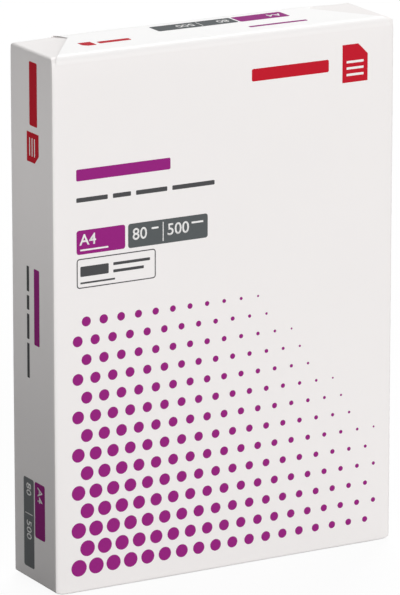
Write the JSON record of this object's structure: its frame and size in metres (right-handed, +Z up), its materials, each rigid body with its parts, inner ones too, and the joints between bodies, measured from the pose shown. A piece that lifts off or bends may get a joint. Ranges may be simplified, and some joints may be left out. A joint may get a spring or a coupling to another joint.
{
  "type": "ream of paper",
  "caption": "Sealed ream of A4 office paper in a glued paper wrapper with envelope-folded ends, standing on one end.",
  "frame": {"origin": "on the surface that the pack stands on, under the middle of its box", "axes": "+Z up along the sheets' length, +Y through the stack from the front face to the back, +X across the sheets' width"},
  "size_m": [0.211, 0.0504, 0.2985],
  "materials": {
    "wrapper_paper": "coated white paper, satin",
    "ink_purple": "purple print on the coated paper",
    "ink_grey": "dark grey print on the coated paper",
    "ink_red": "red print on the coated paper"
  },
  "bodies": {
    "root": {"wrapped_ream": "wrapper_paper"}
  },
  "joints": []
}
